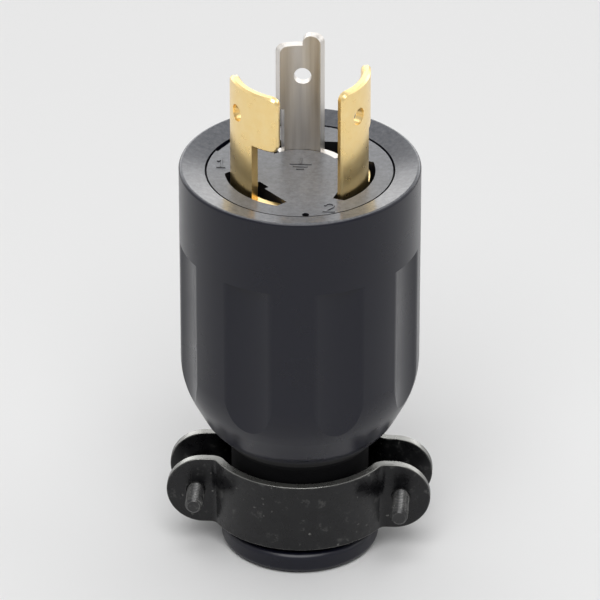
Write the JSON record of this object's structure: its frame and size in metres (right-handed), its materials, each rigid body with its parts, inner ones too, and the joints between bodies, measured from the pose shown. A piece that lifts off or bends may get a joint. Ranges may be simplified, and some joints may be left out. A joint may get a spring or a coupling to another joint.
{
  "type": "locking power plug",
  "caption": "Round black locking power plug with curved hooked blades, a fluted moulded cap and a two-strap cord clamp around its neck, standing on the neck's end flange.",
  "frame": {"origin": "centre of the end flange's flat face, on the plug's axis", "axes": "+Z along the plug to the blade tips, X along the clamp ears, -Y the front, where the clamp screws' tips show"},
  "size_m": [0.0458, 0.041, 0.0943],
  "materials": {
    "housing_vinyl": "satin moulded",
    "core_resin": "semi-matt moulded",
    "brass": "rolled, bright",
    "nickel_plate": "plated, lightly rubbed",
    "zinc_steel": "bright zinc",
    "black_steel": "black, worn at edges",
    "black_screw_steel": "black oxide"
  },
  "bodies": {
    "root": {"housing": "housing_vinyl", "face_carrier": "core_resin", "rear_block": "core_resin", "line_blade_left": "brass", "line_blade_right": "brass", "ground_blade": "nickel_plate", "pressure_plate_left": "zinc_steel", "pressure_plate_right": "zinc_steel", "pressure_plate_ground": "zinc_steel", "terminal_screw_left": "zinc_steel", "terminal_screw_right": "zinc_steel", "terminal_screw_ground": "zinc_steel", "core_screw_1": "zinc_steel", "core_screw_2": "zinc_steel", "core_screw_3": "zinc_steel", "clamp_front_strap": "black_steel", "clamp_rear_strap": "black_steel", "clamp_screw_left": "black_screw_steel", "clamp_screw_right": "black_screw_steel"}
  },
  "joints": []
}
